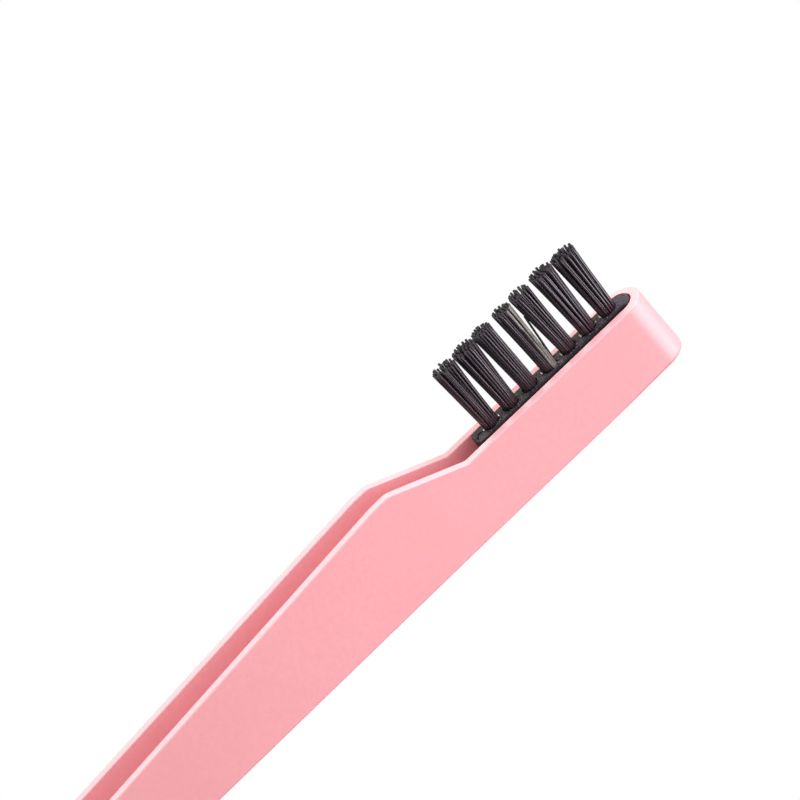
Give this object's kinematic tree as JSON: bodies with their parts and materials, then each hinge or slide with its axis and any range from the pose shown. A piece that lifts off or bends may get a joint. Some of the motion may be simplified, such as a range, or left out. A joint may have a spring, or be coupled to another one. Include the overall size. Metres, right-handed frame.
{
  "type": "tweezer-handled nail brush",
  "caption": "Pink painted spring tweezers folded from one flat strip, with a narrow one-row black nylon brush held in the closed end.",
  "frame": {"origin": "under the middle of the overall length, on the strip's lower edges", "axes": "+X along the tool towards the folded brush end, +Y across the strip towards the far arm, +Z the way the bristles point"},
  "size_m": [0.105, 0.0068, 0.0144],
  "materials": {
    "painted_strip": "smooth satin powder coat, soft pink",
    "block_plastic": "moulded black, fine grain",
    "bristle_nylon": "black nylon filament, soft gloss",
    "anchor_metal": "bright sheared metal",
    "adhesive": "cured black adhesive"
  },
  "bodies": {
    "head": {"head_band": "painted_strip", "brush_block": "block_plastic", "adhesive_film": "adhesive", "tuft_1": "bristle_nylon", "tuft_2": "bristle_nylon", "tuft_3": "bristle_nylon", "tuft_4": "bristle_nylon", "tuft_5": "bristle_nylon", "tuft_6": "bristle_nylon", "tuft_7": "bristle_nylon", "anchor_1": "anchor_metal", "anchor_2": "anchor_metal", "anchor_3": "anchor_metal", "anchor_4": "anchor_metal", "anchor_5": "anchor_metal", "anchor_6": "anchor_metal", "anchor_7": "anchor_metal"},
    "near_arm": {"near_arm": "painted_strip"},
    "far_arm": {"far_arm": "painted_strip"}
  },
  "joints": [
    {"name": "near_arm_flex", "type": "hinge", "parent": "head", "child": "near_arm", "pos_m": [0.027, -0.00192, 0.004], "axis": [0, 0, -1], "range_deg": [0, 1.7], "stiffness_Nm_per_rad": 4},
    {"name": "far_arm_flex", "type": "hinge", "parent": "head", "child": "far_arm", "pos_m": [0.027, 0.00192, 0.004], "axis": [0, 0, 1], "range_deg": [0, 1.7], "stiffness_Nm_per_rad": 4}
  ]
}
